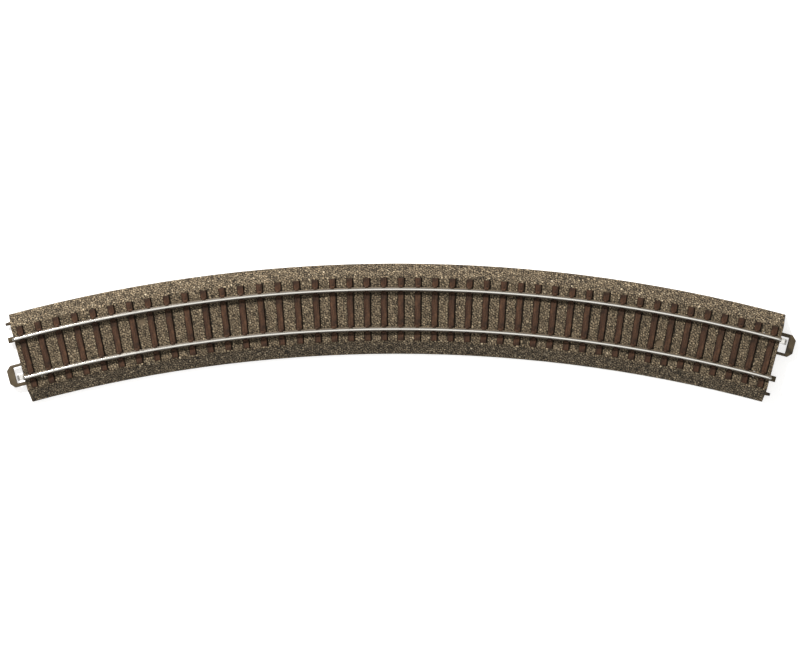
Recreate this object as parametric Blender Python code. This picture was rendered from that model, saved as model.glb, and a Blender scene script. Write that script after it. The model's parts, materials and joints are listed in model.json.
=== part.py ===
"""A curved two-rail H0 track section on its own moulded ballast roadbed.

The section is a 30 degree arc. X runs along it, +Y points to the outside of the curve and +Z is
up. The origin is on the underside, on the centreline, half way along. Lengths are metres.

Places along the curve are given in track terms: an angle from the middle (positive towards
+X), an offset u from the centreline (positive to the outside) and a height z. Each end also
has its own straight frame (s, w, z): s is the distance out of the end face, and w is positive
on the side that carries the latch loop. Both ends are the same in that frame, so any two
sections join.
"""
import math

import bmesh
import bpy
from mathutils import Matrix, Vector

MM = 0.001

# The curve
RADIUS = 643.6 * MM
HALF_ARC = math.radians(15)
GAUGE = 16.5 * MM
SWEEP_STEP = math.radians(1)
GAP = 0.3 * MM  # clearance between neighbouring pieces

# The roadbed's cross-section
BED_HALF = 20.0 * MM
CREST_HALF = 14.2 * MM
BED_TOP = 7.5 * MM
TOE_HEIGHT = 0.6 * MM
CREST_ROUND = 0.35 * MM
SHOULDER_WALL = 1.8 * MM
DECK_UNDERSIDE = 5.3 * MM
ROOT_TOP = DECK_UNDERSIDE + 0.55 * MM  # pieces hung from the deck start inside it
BOSS_TOP = DECK_UNDERSIDE + 0.75 * MM
END_WALL = 1.6 * MM
RIB = 1.2 * MM
CROSS_RIBS = [math.radians(3 * step) for step in range(-4, 5)]
LONG_RIB_OFFSET = 5.5 * MM
BELOW = 1.0 * MM  # how far a cutter runs past the surface it opens

# Sleepers: the gaps are a little wider in the -X part of the section than in the rest
SLEEPER_COUNT = 44
WIDE_GAPS = 16
WIDE_PITCH = 8.09 * MM
END_TO_SLEEPER = 3.5 * MM
SLEEPER_WIDTH = 2.7 * MM
SLEEPER_LENGTH = 27.6 * MM
SLEEPER_TOP = 7.9 * MM
SLEEPER_BOTTOM = 6.6 * MM
CHAIR_WIDTH = 1.7 * MM
CHAIR_LENGTH = 1.2 * MM
CHAIR_HEIGHT = 0.8 * MM

# Rails
RAIL_HEIGHT = 2.1 * MM
RAIL_FOOT_Z = SLEEPER_TOP + GAP
HEAD_HALF = 0.5 * MM
FOOT_HALF = 1.0 * MM
RAIL_OFFSET = GAUGE / 2 + HEAD_HALF
RAIL_OVERRUN = 0.4 * MM
RAIL_HALF_SECTION = [  # (half width, height above the foot), foot to head
    (FOOT_HALF, 0.0),
    (FOOT_HALF, 0.25 * MM),
    (0.32 * MM, 0.55 * MM),
    (0.25 * MM, 1.35 * MM),
    (HEAD_HALF, 1.52 * MM),
    (HEAD_HALF, 1.95 * MM),
    (0.32 * MM, RAIL_HEIGHT),
]

# Screw points, each between two sleepers: index of the sleeper before it, and offset. Each is a
# smooth dimple in the deck over a blind pilot hole, for the screw to pierce.
SCREW_POINTS = [(6, 4.5 * MM), (SLEEPER_COUNT - 8, -4.5 * MM)]
SCREW_BOSS_RADIUS = 2.6 * MM
SCREW_BOSS_BOTTOM = 0.3 * MM
PILOT_RADIUS = 1.0 * MM
PILOT_TOP = BED_TOP - 0.8 * MM
DIMPLE_RADII = (1.2 * MM, 1.6 * MM)
DIMPLE_DEPTH = 0.3 * MM

# Latch loop and the catch that the neighbour's loop snaps round
LOOP_W = (2.0 * MM, 12.0 * MM)
LOOP_INNER_W = (3.3 * MM, 10.4 * MM)
LOOP_REACH = 7.2 * MM
LOOP_BAR_START = 4.0 * MM
LOOP_BACK = -5.0 * MM
LOOP_INNER_BACK = -3.3 * MM
LOOP_CHAMFER = 2.0 * MM
LOOP_Z = (1.7 * MM, 3.3 * MM)
OPENING_W = (1.6 * MM, 12.4 * MM)
OPENING_TOP = 5.2 * MM
ANCHOR_S = (-6.9 * MM, LOOP_BACK - GAP)
SHELF_W = (3.7 * MM, 10.2 * MM)
CATCH_S = (-3.6 * MM, -0.1 * MM)
SHELF_Z = (2.2 * MM, 3.4 * MM)
HANGER_W = (3.7 * MM, 7.4 * MM)
TAB_W = (7.6 * MM, 10.1 * MM)
TAB_Z = (2.4 * MM, 3.3 * MM)
TAB_REACH = 3.0 * MM

# Guide pin and the hole for the neighbour's pin
PIN_OFFSET = 16.0 * MM
PIN_Z = 2.2 * MM
PIN_REACH = 2.4 * MM
PIN_RADII = (0.95 * MM, 0.6 * MM)
PIN_HOLE_RADIUS = 1.25 * MM

# Contacts under the rails
STRIP = 0.4 * MM
TONGUE_W = (7.0 * MM, 9.5 * MM)
TONGUE_S = (-5.2 * MM, 3.4 * MM)
TONGUE_Z = 3.75 * MM
TONGUE_TIP = 1.0 * MM  # length of the raised lead-in
TAB_CONTACT_Z = 3.7 * MM
TAB_CONTACT_W = (8.1 * MM, 9.9 * MM)
TAB_CONTACT_REACH = -0.3 * MM  # stops just inside the end face
RISER_S = -7.5 * MM
RISER_THICKNESS = 0.8 * MM
RISER_WIDTH = 2.0 * MM
FEEDER_GAP = 2  # the feeders rise after this sleeper, counted from 0
FEEDER_Z = 3.6 * MM
FEEDER_THICKNESS = 0.8 * MM
FEEDER_WIDTH = 2.8 * MM
FEEDER_S = (-0.8 * MM, 6.5 * MM)
CONTACT_LANE_HALF = 1.4 * MM

ROUND_STEPS = 16
SHARP_ANGLE = math.radians(35)

# Base colour, roughness, metallic
BALLAST_PLASTIC = (0.150, 0.116, 0.083, 1), 0.85, 0.0
SLEEPER_PLASTIC = (0.065, 0.036, 0.027, 1), 0.6, 0.0
LATCH_PLASTIC = (0.120, 0.090, 0.050, 1), 0.5, 0.0
RAIL_STEEL = (0.62, 0.61, 0.58, 1), 0.25, 1.0
SPRING_METAL = (0.70, 0.68, 0.62, 1), 0.3, 1.0
CONTACT_BRASS = (0.60, 0.47, 0.25, 1), 0.35, 1.0


def clear_scene():
    for obj in list(bpy.data.objects):
        bpy.data.objects.remove(obj, do_unlink=True)


def new_collection(name):
    collection = bpy.data.collections.new(name)
    bpy.context.scene.collection.children.link(collection)
    return collection


def principled(name, look):
    """A plain Principled BSDF material, made once for each name."""
    if name in bpy.data.materials:
        return bpy.data.materials[name]
    colour, roughness, metallic = look
    material = bpy.data.materials.new(name)
    material.use_nodes = True
    shader = material.node_tree.nodes["Principled BSDF"]
    shader.inputs["Base Color"].default_value = colour
    shader.inputs["Roughness"].default_value = roughness
    shader.inputs["Metallic"].default_value = metallic
    return material


def new_object(name, mesh, collection, matrix=None):
    obj = bpy.data.objects.new(name, mesh)
    obj.matrix_world = matrix or Matrix.Identity(4)
    collection.objects.link(obj)
    return obj


def mesh_from(name, bm):
    bmesh.ops.recalc_face_normals(bm, faces=bm.faces)
    mesh = bpy.data.meshes.new(name)
    bm.to_mesh(mesh)
    bm.free()
    return mesh


# Places along the curve

def track_frame(angle, side=1):
    """The matrix from (s, w, z) to the world at an angle: s along the track, w across it."""
    along = Vector((math.cos(angle), -math.sin(angle), 0)) * side
    across = Vector((math.sin(angle), math.cos(angle), 0)) * side
    matrix = Matrix.Identity(4)
    matrix.col[0].xyz = along
    matrix.col[1].xyz = across
    matrix.translation = (RADIUS * math.sin(angle), RADIUS * math.cos(angle) - RADIUS, 0)
    return matrix


def end_frame(side):
    """The frame of the -X end (side -1) or the +X end (side 1)."""
    return track_frame(side * HALF_ARC, side)


def arc_angle(length):
    """The angle that a length along the centreline takes."""
    return length / RADIUS


def sleeper_angles():
    """Sleeper centres: the wide gaps first, then the rest shared out evenly."""
    first = -HALF_ARC + arc_angle(END_TO_SLEEPER)
    last = -first
    wide = arc_angle(WIDE_PITCH)
    change = first + WIDE_GAPS * wide
    close_gaps = SLEEPER_COUNT - 1 - WIDE_GAPS
    close = (last - change) / close_gaps
    angles = [first + wide * step for step in range(WIDE_GAPS)]
    angles += [change + close * step for step in range(close_gaps + 1)]
    return angles


def between_sleepers(index):
    """The angle half way from one sleeper to the next."""
    angles = sleeper_angles()
    return (angles[index] + angles[index + 1]) / 2


# Shapes

def arc_sweep(name, section, start, end):
    """A closed (u, z) section swept about the centre of the curve."""
    bm = bmesh.new()
    corners = [
        bm.verts.new(((RADIUS + u) * math.sin(start), (RADIUS + u) * math.cos(start) - RADIUS, z))
        for u, z in section
    ]
    face = bm.faces.new(corners)
    bmesh.ops.spin(
        bm,
        geom=[*bm.verts, *bm.edges, face],
        cent=(0, -RADIUS, 0),
        axis=(0, 0, -1),
        angle=end - start,
        steps=max(1, round((end - start) / SWEEP_STEP)),
    )
    return mesh_from(name, bm)


def prism(name, outline, depth, through):
    """An outline in two of (s, w, z), in that order, extruded through the third."""
    low, high = depth
    third = "swz".index(through)
    bm = bmesh.new()
    corners = []
    for pair in outline:
        point = list(pair)
        point.insert(third, low)
        corners.append(bm.verts.new(point))
    travel = Vector()
    travel[third] = high - low
    face = bm.faces.new(corners)
    raised = bmesh.ops.extrude_face_region(bm, geom=[face], use_keep_orig=True)
    moved = [item for item in raised["geom"] if isinstance(item, bmesh.types.BMVert)]
    bmesh.ops.translate(bm, verts=moved, vec=travel)
    return mesh_from(name, bm)


def block(name, s_range, w_range, z_range):
    """A box between two corners."""
    bm = bmesh.new()
    bmesh.ops.create_cube(bm, size=1)
    ranges = [sorted(pair) for pair in (s_range, w_range, z_range)]
    size = [high - low for low, high in ranges]
    middle = [(high + low) / 2 for low, high in ranges]
    bmesh.ops.scale(bm, vec=size, verts=bm.verts)
    bmesh.ops.translate(bm, vec=middle, verts=bm.verts)
    return mesh_from(name, bm)


def cone(name, radii, start, end):
    """A cylinder or cone from one point to another, with its first radius at the start."""
    start, end = Vector(start), Vector(end)
    length = (end - start).length
    bm = bmesh.new()
    bmesh.ops.create_cone(
        bm, cap_ends=True, segments=ROUND_STEPS, radius1=radii[0], radius2=radii[1], depth=length
    )
    turn = Vector((0, 0, 1)).rotation_difference(end - start).to_matrix().to_4x4()
    bmesh.ops.transform(bm, matrix=Matrix.Translation((start + end) / 2) @ turn, verts=bm.verts)
    return mesh_from(name, bm)


def mirrored_w(w_range):
    """The same stretch on the side of the track away from the loop."""
    return -w_range[1], -w_range[0]


def add_boolean(target, operand, operation):
    modifier = target.modifiers.new(operation.lower(), "BOOLEAN")
    modifier.operation = operation
    modifier.solver = "EXACT"
    modifier.operand_type = "COLLECTION"
    modifier.collection = operand


def finish_piece(obj, material_name, look):
    obj.data.materials.clear()
    obj.data.materials.append(principled(material_name, look))
    obj.data.shade_smooth()
    obj.data.set_sharp_from_angle(angle=SHARP_ANGLE)
    return obj


def hide_operands(collection):
    for obj in collection.objects:
        obj.hide_render = True
        obj.display_type = "WIRE"


# The roadbed

def bed_section():
    half = [
        (BED_HALF, 0),
        (BED_HALF, TOE_HEIGHT),
        (CREST_HALF + CREST_ROUND, BED_TOP - CREST_ROUND),
        (CREST_HALF - CREST_ROUND, BED_TOP),
    ]
    return half + [(-u, z) for u, z in reversed(half)]


def shoulder_lane(inner_edge):
    """The hollow between a rib and the shoulder wall, on the outside of the curve."""
    return [
        (inner_edge, -BELOW),
        (BED_HALF - SHOULDER_WALL, -BELOW),
        (BED_HALF - SHOULDER_WALL, TOE_HEIGHT),
        (CREST_HALF - SHOULDER_WALL / 2, DECK_UNDERSIDE),
        (inner_edge, DECK_UNDERSIDE),
    ]


def flipped(section):
    return [(-u, z) for u, z in reversed(section)]


def cut_bays(cuts):
    """Hollow the underside between the cross ribs: three lanes a bay, and two in the end bays."""
    half_rib = arc_angle(RIB / 2)
    edges = [-HALF_ARC + arc_angle(END_WALL)]
    for angle in CROSS_RIBS:
        edges += [angle - half_rib, angle + half_rib]
    edges.append(HALF_ARC - arc_angle(END_WALL))
    centre_half = LONG_RIB_OFFSET - RIB / 2
    centre_lane = [
        (-centre_half, -BELOW),
        (centre_half, -BELOW),
        (centre_half, DECK_UNDERSIDE),
        (-centre_half, DECK_UNDERSIDE),
    ]
    outer_lane = shoulder_lane(LONG_RIB_OFFSET + RIB / 2)
    end_lane = shoulder_lane(RIB / 2)
    bays = list(zip(edges[::2], edges[1::2]))
    for number, (start, end) in enumerate(bays):
        lanes = [outer_lane, centre_lane, flipped(outer_lane)]
        if number in (0, len(bays) - 1):
            lanes = [end_lane, flipped(end_lane)]
        for lane in lanes:
            new_object(f"cut_bay_{number}", arc_sweep("bay", lane, start, end), cuts)


def cut_pockets(cuts):
    """A pocket for each sleeper, and the slots that the contact risers pass through."""
    half_width = SLEEPER_WIDTH / 2 + GAP
    half_length = SLEEPER_LENGTH / 2 + GAP
    depth = (SLEEPER_BOTTOM - GAP, BED_TOP + BELOW)
    pocket = block("pocket", (-half_width, half_width), (-half_length, half_length), depth)
    for angle in sleeper_angles():
        new_object("cut_pocket", pocket, cuts, track_frame(angle))


def riser_slot(s, w):
    half_s = RISER_THICKNESS / 2 + GAP
    half_w = RISER_WIDTH / 2 + GAP
    depth = (DECK_UNDERSIDE - BELOW, BED_TOP + BELOW)
    return block("riser_slot", (s - half_s, s + half_s), (w - half_w, w + half_w), depth)


def cut_ends(cuts):
    """Openings in each end wall for both loops, the pin hole, and the riser slots."""
    reach = (-END_WALL - BELOW, BELOW)
    for side in (-1, 1):
        frame = end_frame(side)
        for w_range in (OPENING_W, mirrored_w(OPENING_W)):
            opening = block("opening", reach, w_range, (-BELOW, OPENING_TOP))
            new_object("cut_opening", opening, cuts, frame)
        hole_start = (reach[0], PIN_OFFSET, PIN_Z)
        hole_end = (reach[1], PIN_OFFSET, PIN_Z)
        hole = cone("pin_hole", (PIN_HOLE_RADIUS, PIN_HOLE_RADIUS), hole_start, hole_end)
        new_object("cut_pin_hole", hole, cuts, frame)
        for w in (RAIL_OFFSET, -RAIL_OFFSET):
            new_object("cut_riser", riser_slot(RISER_S, w), cuts, frame)
    feeder_frame = track_frame(between_sleepers(FEEDER_GAP))
    for w in (RAIL_OFFSET, -RAIL_OFFSET):
        new_object("cut_feeder", riser_slot(0, w), cuts, feeder_frame)


def screw_frames():
    for index, offset in SCREW_POINTS:
        yield track_frame(between_sleepers(index)) @ Matrix.Translation((0, offset, 0))


def add_bosses(fills):
    for frame in screw_frames():
        start = (0, 0, SCREW_BOSS_BOTTOM)
        boss = cone("boss", (SCREW_BOSS_RADIUS, SCREW_BOSS_RADIUS), start, (0, 0, BOSS_TOP))
        new_object("fill_boss", boss, fills, frame)


def cut_screw_points(cuts):
    slope = (DIMPLE_RADII[1] - DIMPLE_RADII[0]) / DIMPLE_DEPTH
    dimple_radii = (DIMPLE_RADII[0], DIMPLE_RADII[1] + slope * BELOW)
    dimple_start, dimple_end = (0, 0, BED_TOP - DIMPLE_DEPTH), (0, 0, BED_TOP + BELOW)
    for frame in screw_frames():
        pilot = cone("pilot", (PILOT_RADIUS, PILOT_RADIUS), (0, 0, -BELOW), (0, 0, PILOT_TOP))
        new_object("cut_pilot", pilot, cuts, frame)
        new_object("cut_dimple", cone("dimple", dimple_radii, dimple_start, dimple_end), cuts, frame)


def anchor_outline():
    """The loop's anchor seen from the end: a bar hung from the deck, open under the contact."""
    bottom, top = LOOP_Z[0] - GAP, LOOP_Z[1]
    contact_lane = (RAIL_OFFSET - CONTACT_LANE_HALF, RAIL_OFFSET + CONTACT_LANE_HALF)
    return [
        (LOOP_W[0], bottom),
        (LOOP_W[1], bottom),
        (LOOP_W[1], ROOT_TOP),
        (contact_lane[1], ROOT_TOP),
        (contact_lane[1], top),
        (contact_lane[0], top),
        (contact_lane[0], ROOT_TOP),
        (LOOP_W[0], ROOT_TOP),
    ]


def catch_outline():
    """The catch seen from the end: a hanger from the deck with a shelf at its foot."""
    return [
        (-SHELF_W[1], SHELF_Z[0]),
        (-SHELF_W[0], SHELF_Z[0]),
        (-SHELF_W[0], ROOT_TOP),
        (-HANGER_W[1], ROOT_TOP),
        (-HANGER_W[1], SHELF_Z[1]),
        (-SHELF_W[1], SHELF_Z[1]),
    ]


def add_end_features(fills):
    """The loop's anchor on one side, and the catch, tab and pin on the other."""
    anchor = prism("anchor", anchor_outline(), ANCHOR_S, through="s")
    catch = prism("catch", catch_outline(), CATCH_S, through="s")
    tab = block("tab", (-BELOW, TAB_REACH), mirrored_w(TAB_W), TAB_Z)
    pin_start = (-END_WALL / 2, -PIN_OFFSET, PIN_Z)
    pin = cone("pin", PIN_RADII, pin_start, (PIN_REACH, -PIN_OFFSET, PIN_Z))
    for side in (-1, 1):
        for shape in (anchor, catch, tab, pin):
            new_object(f"fill_{shape.name}", shape, fills, end_frame(side))


def make_roadbed(parts):
    hollows = new_collection("roadbed_hollows")
    fills = new_collection("roadbed_fills")
    cuts = new_collection("roadbed_cuts")
    cut_bays(hollows)
    cut_ends(hollows)
    add_bosses(fills)
    add_end_features(fills)
    cut_pockets(cuts)
    cut_screw_points(cuts)
    bed = new_object("roadbed", arc_sweep("roadbed", bed_section(), -HALF_ARC, HALF_ARC), parts)
    add_boolean(bed, hollows, "DIFFERENCE")
    add_boolean(bed, fills, "UNION")
    add_boolean(bed, cuts, "DIFFERENCE")
    finish_piece(bed, "ballast_plastic", BALLAST_PLASTIC)
    for operands in (hollows, fills, cuts):
        hide_operands(operands)


# Sleepers and rails

def sleeper_mesh(parts):
    """One sleeper with the four chairs that hold the rail feet, as a single moulding."""
    half_width, half_length = SLEEPER_WIDTH / 2, SLEEPER_LENGTH / 2
    body = block(
        "sleeper_body",
        (-half_width, half_width),
        (-half_length, half_length),
        (SLEEPER_BOTTOM, SLEEPER_TOP),
    )
    chairs = new_collection("sleeper_chairs")
    foot_edge = FOOT_HALF + GAP
    for rail in (-RAIL_OFFSET, RAIL_OFFSET):
        for side in (-1, 1):
            w_range = (rail + side * foot_edge, rail + side * (foot_edge + CHAIR_LENGTH))
            z_range = (SLEEPER_TOP - GAP, SLEEPER_TOP + CHAIR_HEIGHT)
            chair = block("chair", (-CHAIR_WIDTH / 2, CHAIR_WIDTH / 2), w_range, z_range)
            new_object("fill_chair", chair, chairs)
    pattern = new_object("sleeper_pattern", body, parts)
    add_boolean(pattern, chairs, "UNION")
    evaluated = pattern.evaluated_get(bpy.context.evaluated_depsgraph_get())
    mesh = bpy.data.meshes.new_from_object(evaluated)
    mesh.name = "sleeper"
    bpy.data.objects.remove(pattern)
    hide_operands(chairs)
    return mesh


def make_sleepers(parts):
    mesh = sleeper_mesh(parts)
    for number, angle in enumerate(sleeper_angles(), start=1):
        sleeper = new_object(f"sleeper_{number:02d}", mesh, parts, track_frame(angle))
        finish_piece(sleeper, "sleeper_plastic", SLEEPER_PLASTIC)


def make_rails(parts):
    reach = HALF_ARC + arc_angle(RAIL_OVERRUN)
    for name, offset in (("rail_outer", RAIL_OFFSET), ("rail_inner", -RAIL_OFFSET)):
        half = [(offset + width, RAIL_FOOT_Z + height) for width, height in RAIL_HALF_SECTION]
        other = [(offset - width, RAIL_FOOT_Z + height) for width, height in RAIL_HALF_SECTION]
        section = half + list(reversed(other))
        rail = new_object(name, arc_sweep(name, section, -reach, reach), parts)
        finish_piece(rail, "rail_steel", RAIL_STEEL)


# Pieces at the two ends

def at_hinge(frame, s, w, z):
    return frame @ Matrix.Translation((s, w, z))


def loop_mesh(hinge):
    """A flat ring with chamfered front corners, given from its hinge."""
    hinge_s, hinge_w, hinge_z = hinge
    front = LOOP_REACH - hinge_s
    side = (LOOP_W[1] - LOOP_W[0]) / 2
    half_thickness = (LOOP_Z[1] - LOOP_Z[0]) / 2
    outline = [
        (LOOP_BACK - hinge_s, -side),
        (front - LOOP_CHAMFER, -side),
        (front, -side + LOOP_CHAMFER),
        (front, side - LOOP_CHAMFER),
        (front - LOOP_CHAMFER, side),
        (LOOP_BACK - hinge_s, side),
    ]
    ring = prism("latch_loop", outline, (-half_thickness, half_thickness), through="z")
    inner_w = [w - hinge_w for w in LOOP_INNER_W]
    inner_s = (LOOP_INNER_BACK - hinge_s, LOOP_BAR_START - hinge_s)
    window = block("loop_window", inner_s, inner_w, (-2 * half_thickness, 2 * half_thickness))
    return ring, window


def make_latch_loops(parts):
    windows = new_collection("loop_windows")
    hinge = (LOOP_BACK, sum(LOOP_W) / 2, sum(LOOP_Z) / 2)
    ring, window = loop_mesh(hinge)
    for side, end in ((-1, "left"), (1, "right")):
        matrix = at_hinge(end_frame(side), *hinge)
        loop = new_object(f"latch_loop_{end}", ring.copy(), parts, matrix)
        cutter = new_object(f"cut_window_{end}", window, windows, matrix)
        modifier = loop.modifiers.new("window", "BOOLEAN")
        modifier.solver = "EXACT"
        modifier.object = cutter
        finish_piece(loop, "latch_plastic", LATCH_PLASTIC)
    hide_operands(windows)


def make_tongues(parts):
    """Flat springs that reach out through the loops, with a raised tip to lead the contact in."""
    hinge = (TONGUE_S[0], sum(TONGUE_W) / 2, TONGUE_Z + STRIP / 2)
    reach = TONGUE_S[1] - TONGUE_S[0]
    half = STRIP / 2
    profile = [
        (0, -half),
        (reach - TONGUE_TIP, -half),
        (reach, half),
        (reach, 3 * half),
        (reach - TONGUE_TIP, half),
        (0, half),
    ]
    width = (TONGUE_W[1] - TONGUE_W[0]) / 2
    mesh = prism("contact_tongue", profile, (-width, width), through="w")
    for side, end in ((-1, "left"), (1, "right")):
        matrix = at_hinge(end_frame(side), *hinge)
        tongue = new_object(f"contact_tongue_{end}", mesh, parts, matrix)
        finish_piece(tongue, "spring_metal", SPRING_METAL)


def riser_profile(foot, tip, thickness):
    """An angle piece: a flat foot from under the riser to its tip, and the riser above it."""
    back = -RISER_THICKNESS / 2
    front = RISER_THICKNESS / 2
    return [
        (back, foot),
        (tip, foot),
        (tip, foot + thickness),
        (front, foot + thickness),
        (front, RAIL_FOOT_Z - GAP),
        (back, RAIL_FOOT_Z - GAP),
    ]


def make_contacts(parts):
    """Sheet-metal angles that carry each rail's current to its tongue or to its tab."""
    half_riser = RISER_WIDTH / 2
    bracket_tip = TONGUE_S[0] - GAP - RISER_S
    bracket = riser_profile(TONGUE_Z, bracket_tip, STRIP)
    bracket_w = (RAIL_OFFSET - half_riser, RAIL_OFFSET + half_riser)
    tab_tip = TAB_CONTACT_REACH - RISER_S
    tab = riser_profile(TAB_CONTACT_Z, tab_tip, STRIP)
    kinds = [
        ("rail_bracket", bracket, bracket_w),
        ("tab_contact", tab, mirrored_w(TAB_CONTACT_W)),
    ]
    for name, profile, w_range in kinds:
        mesh = prism(name, profile, w_range, through="w")
        for side, end in ((-1, "left"), (1, "right")):
            matrix = end_frame(side) @ Matrix.Translation((RISER_S, 0, 0))
            contact = new_object(f"{name}_{end}", mesh, parts, matrix)
            finish_piece(contact, "contact_brass", CONTACT_BRASS)


def make_feeders(parts):
    """Flat spades under the deck, one to each rail, that take the supply wires' connectors."""
    half_blade, half_riser = FEEDER_WIDTH / 2, RISER_WIDTH / 2
    half_thickness = RISER_THICKNESS / 2
    blade_z = (FEEDER_Z, FEEDER_Z + FEEDER_THICKNESS)
    blade = block("feeder_blade", FEEDER_S, (-half_blade, half_blade), blade_z)
    riser_z = (FEEDER_Z + FEEDER_THICKNESS / 2, RAIL_FOOT_Z - GAP)
    riser_s = (-half_thickness, half_thickness)
    riser = block("feeder_riser", riser_s, (-half_riser, half_riser), riser_z)
    risers = new_collection("feeder_risers")
    frame = track_frame(between_sleepers(FEEDER_GAP), side=-1)
    for name, w in (("feeder_spade_outer", -RAIL_OFFSET), ("feeder_spade_inner", RAIL_OFFSET)):
        matrix = frame @ Matrix.Translation((0, w, 0))
        feeder = new_object(name, blade.copy(), parts, matrix)
        modifier = feeder.modifiers.new("riser", "BOOLEAN")
        modifier.operation = "UNION"
        modifier.solver = "EXACT"
        modifier.object = new_object(f"fill_{name}", riser, risers, matrix)
        finish_piece(feeder, "contact_brass", CONTACT_BRASS)
    hide_operands(risers)


def main():
    clear_scene()
    parts = new_collection("track_section")
    make_roadbed(parts)
    make_sleepers(parts)
    make_rails(parts)
    make_latch_loops(parts)
    make_tongues(parts)
    make_contacts(parts)
    make_feeders(parts)


main()
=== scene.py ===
import json
import math

import bmesh
import bpy
import numpy as np
from mathutils import Matrix, Vector

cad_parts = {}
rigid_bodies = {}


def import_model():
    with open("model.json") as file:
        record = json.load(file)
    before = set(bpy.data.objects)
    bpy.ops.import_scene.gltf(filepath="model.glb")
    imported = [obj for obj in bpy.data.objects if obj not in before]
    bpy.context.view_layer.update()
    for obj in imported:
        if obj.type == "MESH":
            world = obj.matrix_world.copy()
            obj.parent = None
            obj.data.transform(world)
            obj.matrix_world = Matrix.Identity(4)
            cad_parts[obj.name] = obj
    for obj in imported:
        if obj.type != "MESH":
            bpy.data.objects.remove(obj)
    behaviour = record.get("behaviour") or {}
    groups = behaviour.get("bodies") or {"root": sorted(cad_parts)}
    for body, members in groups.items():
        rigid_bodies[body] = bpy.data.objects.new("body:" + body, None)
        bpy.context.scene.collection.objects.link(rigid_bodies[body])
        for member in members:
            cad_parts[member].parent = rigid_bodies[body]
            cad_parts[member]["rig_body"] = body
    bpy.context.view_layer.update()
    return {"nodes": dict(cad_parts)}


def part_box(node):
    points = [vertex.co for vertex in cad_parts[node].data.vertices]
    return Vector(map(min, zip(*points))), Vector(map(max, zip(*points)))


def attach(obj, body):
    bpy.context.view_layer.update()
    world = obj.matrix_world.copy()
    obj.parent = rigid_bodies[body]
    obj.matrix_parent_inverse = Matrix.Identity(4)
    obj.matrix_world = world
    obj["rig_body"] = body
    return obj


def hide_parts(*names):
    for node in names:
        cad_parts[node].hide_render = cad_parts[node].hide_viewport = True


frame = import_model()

MM = 0.001

# The curve and the roadbed's section
RADIUS = 643.6 * MM
HALF_ARC = math.radians(15)
BED_HALF = 20.0 * MM
BED_TOP = 7.5 * MM
TOE_HEIGHT = 0.6 * MM
CREST_LOW = (14.55 * MM, 7.15 * MM)  # offset and height where the shoulder begins
CREST_EDGE = 13.85 * MM  # offset where the flat top ends

# Ballast skin
SKIN_STEP = 0.395 * MM  # between neighbouring points, along the bed and across it
SKIN_LIFT = 0.02 * MM  # over the bed, under the stones
SKIN_END_GAP = 0.02 * MM
SKIN_MOST = 0.33 * MM  # height of the tallest stone
SKIN_TOE = [(BED_HALF - 0.25 * MM, 0.3 * MM), (BED_HALF, 0.55 * MM)]
SKIN_UNDERSIDE = [  # offset and height, sunk in the bed
    (-19.2, 0.5), (-14.2, 6.75), (-13.7, 7.0), (13.7, 7.0), (14.2, 6.75), (19.2, 0.5),
]
TAPER_START = 0.55 * MM  # the stones begin this far from the skin's edge
TAPER_LENGTH = 0.4 * MM
ON_SKIN = 0.005 * MM  # points further out than this belong to the skin

# Stones
STONE = 1.12 * MM
STONE_ROW = 0.87  # distance between rows, over the distance between stones in one
STONE_JITTER = 0.36
STONE_SHOULDER = 0.36 * MM  # from a gap to the stone's full height
STONE_HEIGHT = (0.2 * MM, 0.32 * MM)
STONE_TILT = 0.35
STONE_UNEVEN = 0.09 * MM  # how far a stone's reach differs from the average
STONE_TONES = (6, 6)  # the beta distribution of their tones
SLOPE_TONE = 0.47  # middle of the tones on the shoulders
SLOPE_SPREAD = 1.35  # how much more the stones' tones differ on the shoulders
BETWEEN_SHADE_AND_DIRT = 0.05  # tone taken off between the rails: painted shade of the rails and sleepers, and dirt
SLOPE_STRETCH = 0.8  # slope lengths are scaled by this, so stones there are longer down the slope
FIELD = (350 * MM, 56 * MM)
FIELD_PAD = 4
PLAIN_TINT = (0.118, 0.088, 0.056, 1)
# painted shade: the colour in the open gap beside each sleeper
GROOVE_SHADE_TINT = (0.028, 0.022, 0.016, 1)
TAB_TINT = (0.115, 0.088, 0.05, 1)
PIN_TINT = (0.04, 0.031, 0.025, 1)
PIN_FROM = 14 * MM  # what sticks out of the end beyond this offset is a guide pin
PAST_END = 0.05 * MM

# Sleepers, chairs and rails
SLEEPER_HALF = (1.35 * MM, 13.8 * MM)
SLEEPER_Z = (6.6 * MM, 7.9 * MM)
SLEEPER_KINDS = 4
CLEARANCE = 0.05 * MM
GROOVE = 0.42 * MM  # open gap along each sleeper's +X side
GROOVE_SHADE_REACH = 0.7  # painted shade in the gap reaches this far from its middle, in gap widths
POCKET_Z = (6.35 * MM, 9 * MM)
PLANK_RINGS = 58
PLANK_TOP_POINTS = 22
TOP_INSET = 0.12 * MM
ARRIS_DEEP = (0.16 * MM, 0.05 * MM)  # depths under the top of the two corners of an arris
ARRIS_IN = 0.04 * MM
END_ROUND = (0.5 * MM, 0.1 * MM)  # length and depth of the rounding at a sleeper's ends
END_ROUND_SIDE = 0.6  # the rounding of its sides there, over that of its top
SPLITS = 7
SPLIT_REACH = 0.85  # across the sleeper's half width
SPLIT_DEEP = (0.03, 0.085)  # millimetres
SPLIT_WIDE = (0.07, 0.12)  # millimetres
SPLIT_WAVE = (150, 420)  # radians to the metre
SPLIT_PHASE = (0, 6.3)
SPLIT_MIDDLE = 0.6  # along the sleeper's half length
SPLIT_LENGTH = (0.35, 1.1)  # of the sleeper's half length
SPLIT_FADE = 1.2  # a split has its full depth to a fifth of its length, then fades out
SPLIT_WANDER = 0.13 * MM
SPLIT_MOST = 0.14 * MM
RAIL_OFFSET = 8.75 * MM
RAIL_FOOT_Z = 8.2 * MM
RAIL_OVERRUN = 0.4 * MM
RAIL_STEPS = 240
RAIL_CHAMFER = 0.05 * MM
RAIL_END_SCALE = 0.94
RAIL_CENTRE_Z = 1.05 * MM
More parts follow.
